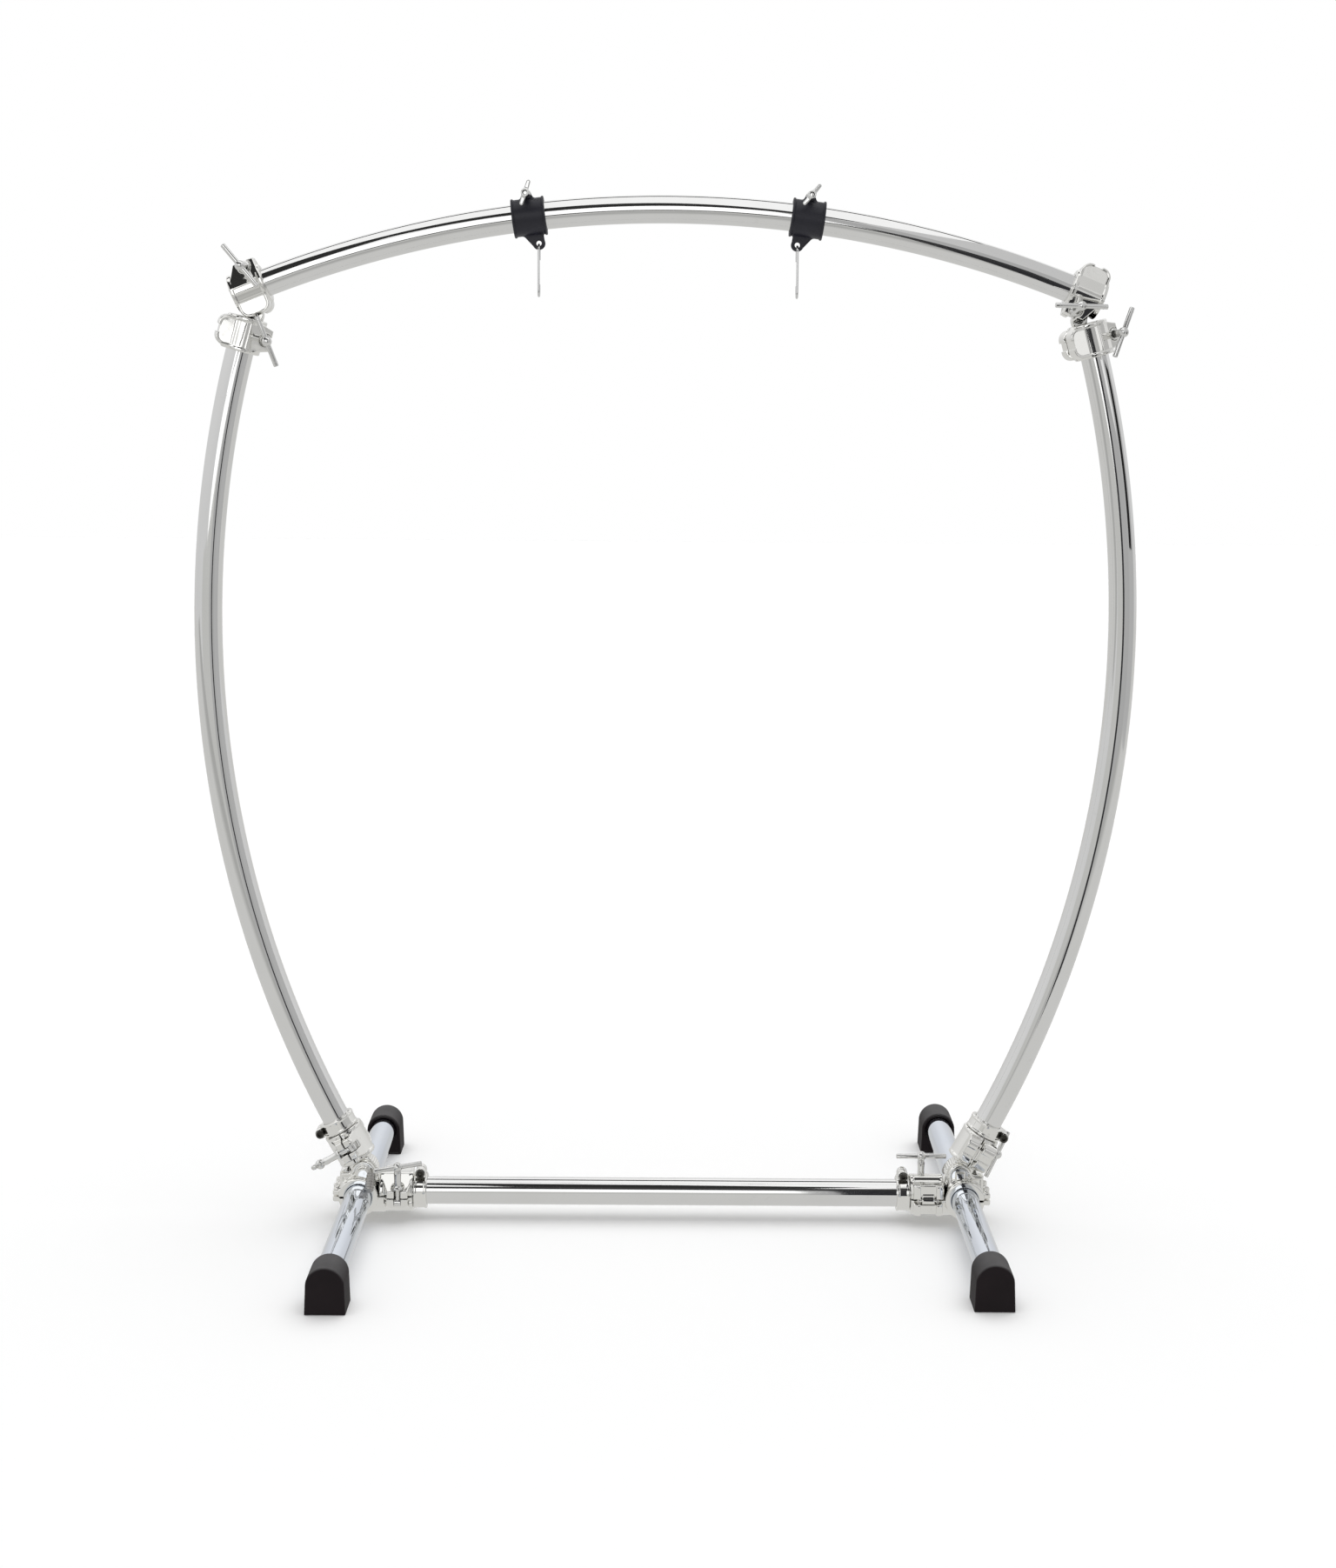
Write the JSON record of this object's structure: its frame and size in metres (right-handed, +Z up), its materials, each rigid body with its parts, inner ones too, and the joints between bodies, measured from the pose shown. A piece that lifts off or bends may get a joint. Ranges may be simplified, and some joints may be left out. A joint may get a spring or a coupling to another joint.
{
  "type": "gong stand",
  "caption": "Free-standing gong stand of bent chrome tubes with hinged cast clamps, rubber feet, nylon hangers and wire S hooks.",
  "frame": {"origin": "on the floor, midway between the four feet", "axes": "+X to the viewer's right along the lower bar, +Y away from the viewer along the legs, +Z up"},
  "size_m": [1.31, 0.661, 1.4603],
  "materials": {
    "tube": "bright chrome plate",
    "casting": "chromed casting",
    "fitting": "chromed steel",
    "rubber": "matte moulded rubber",
    "nylon": "moulded black nylon",
    "wire": "bright steel wire",
    "dark_screw": "black oxide"
  },
  "bodies": {
    "frame": {"left_leg_tube": "tube", "left_front_foot": "rubber", "left_rear_foot": "rubber", "left_leg_clamp": "casting", "left_bar_clamp_cap": "casting", "left_bar_clamp_swing_bolt": "fitting", "left_upright_socket": "casting", "left_upright_clamp_cap": "casting", "left_upright_clamp_swing_bolt": "fitting", "left_bar_lock": "casting", "left_bar_lock_screw": "dark_screw", "left_upright_lock": "casting", "left_upright_lock_screw": "dark_screw", "left_upright": "tube", "left_corner_bar_socket": "casting", "left_corner_bar_cap": "casting", "left_corner_bar_swing_bolt": "fitting", "left_corner_upright_socket": "casting", "left_corner_upright_cap": "casting", "left_corner_upright_swing_bolt": "fitting", "left_corner_pivot_bolt": "fitting", "right_leg_tube": "tube", "right_front_foot": "rubber", "right_rear_foot": "rubber", "right_leg_clamp": "casting", "right_bar_clamp_cap": "casting", "right_bar_clamp_swing_bolt": "fitting", "right_upright_socket": "casting", "right_upright_clamp_cap": "casting", "right_upright_clamp_swing_bolt": "fitting", "right_bar_lock": "casting", "right_bar_lock_screw": "dark_screw", "right_upright_lock": "casting", "right_upright_lock_screw": "dark_screw", "right_upright": "tube", "right_corner_bar_socket": "casting", "right_corner_bar_cap": "casting", "right_corner_bar_swing_bolt": "fitting", "right_corner_upright_socket": "casting", "right_corner_upright_cap": "casting", "right_corner_upright_swing_bolt": "fitting", "right_corner_pivot_bolt": "fitting", "top_bar": "tube", "lower_bar": "tube"},
    "left_bar_clamp_tee_nut_body": {"left_bar_clamp_tee_nut": "fitting"},
    "left_upright_clamp_tee_nut_body": {"left_upright_clamp_tee_nut": "fitting"},
    "left_corner_bar_tee_nut_body": {"left_corner_bar_tee_nut": "fitting"},
    "left_corner_upright_tee_nut_body": {"left_corner_upright_tee_nut": "fitting"},
    "right_bar_clamp_tee_nut_body": {"right_bar_clamp_tee_nut": "fitting"},
    "right_upright_clamp_tee_nut_body": {"right_upright_clamp_tee_nut": "fitting"},
    "right_corner_bar_tee_nut_body": {"right_corner_bar_tee_nut": "fitting"},
    "right_corner_upright_tee_nut_body": {"right_corner_upright_tee_nut": "fitting"},
    "left_hanger_body": {"left_hanger": "nylon", "left_hanger_screw": "fitting"},
    "left_wing_nut_body": {"left_hanger_wing_nut": "fitting"},
    "left_hook_body": {"left_s_hook": "wire"},
    "right_hanger_body": {"right_hanger": "nylon", "right_hanger_screw": "fitting"},
    "right_wing_nut_body": {"right_hanger_wing_nut": "fitting"},
    "right_hook_body": {"right_s_hook": "wire"}
  },
  "joints": [
    {"name": "left_bar_clamp_nut_turn", "type": "hinge", "parent": "frame", "child": "left_bar_clamp_tee_nut_body", "pos_m": [-0.37422, -0.0185, 0.04965], "axis": [0, 0, 1], "continuous": true},
    {"name": "left_upright_clamp_nut_turn", "type": "hinge", "parent": "frame", "child": "left_upright_clamp_tee_nut_body", "pos_m": [-0.45501, -0.0185, 0.10132], "axis": [-0.8746, 0, -0.4849], "continuous": true},
    {"name": "left_corner_bar_nut_turn", "type": "hinge", "parent": "frame", "child": "left_corner_bar_tee_nut_body", "pos_m": [-0.57727, -0.00115, 1.34174], "axis": [0, -1, 0], "continuous": true},
    {"name": "left_corner_upright_nut_turn", "type": "hinge", "parent": "frame", "child": "left_corner_upright_tee_nut_body", "pos_m": [-0.5514, 0.00621, 1.24263], "axis": [0.2332, -0.9703, -0.0643], "continuous": true},
    {"name": "right_bar_clamp_nut_turn", "type": "hinge", "parent": "frame", "child": "right_bar_clamp_tee_nut_body", "pos_m": [0.37422, 0.0395, 0.04965], "axis": [0, 0, 1], "continuous": true},
    {"name": "right_upright_clamp_nut_turn", "type": "hinge", "parent": "frame", "child": "right_upright_clamp_tee_nut_body", "pos_m": [0.45501, 0.0395, 0.10132], "axis": [0.8746, 0, -0.4849], "continuous": true},
    {"name": "right_corner_bar_nut_turn", "type": "hinge", "parent": "frame", "child": "right_corner_bar_tee_nut_body", "pos_m": [0.55642, -0.00601, 1.29026], "axis": [0.0652, -0.9848, 0.161], "continuous": true},
    {"name": "right_corner_upright_nut_turn", "type": "hinge", "parent": "frame", "child": "right_corner_upright_tee_nut_body", "pos_m": [0.61109, 0.00621, 1.25908], "axis": [0.2332, -0.9703, 0.0643], "continuous": true},
    {"name": "left_hanger_slide", "type": "hinge", "parent": "frame", "child": "left_hanger_body", "pos_m": [0, 0.0105, -0.1], "axis": [0, 1, 0], "range_deg": [-12, 5]},
    {"name": "left_wing_nut_turn", "type": "hinge", "parent": "left_hanger_body", "child": "left_wing_nut_body", "pos_m": [-0.1938, 0.0029, 1.44237], "axis": [0, 1, 0], "continuous": true},
    {"name": "left_hook_swing", "type": "hinge", "parent": "left_hanger_body", "child": "left_hook_body", "pos_m": [-0.17648, 0.0105, 1.37672], "axis": [0, 1, 0], "range_deg": [-60, 60]},
    {"name": "right_hanger_slide", "type": "hinge", "parent": "frame", "child": "right_hanger_body", "pos_m": [0, 0.0105, -0.1], "axis": [0, 1, 0], "range_deg": [-5, 12]},
    {"name": "right_wing_nut_turn", "type": "hinge", "parent": "right_hanger_body", "child": "right_wing_nut_body", "pos_m": [0.1938, 0.0029, 1.44237], "axis": [0, 1, 0], "continuous": true},
    {"name": "right_hook_swing", "type": "hinge", "parent": "right_hanger_body", "child": "right_hook_body", "pos_m": [0.17648, 0.0105, 1.37672], "axis": [0, 1, 0], "range_deg": [-60, 60]}
  ]
}
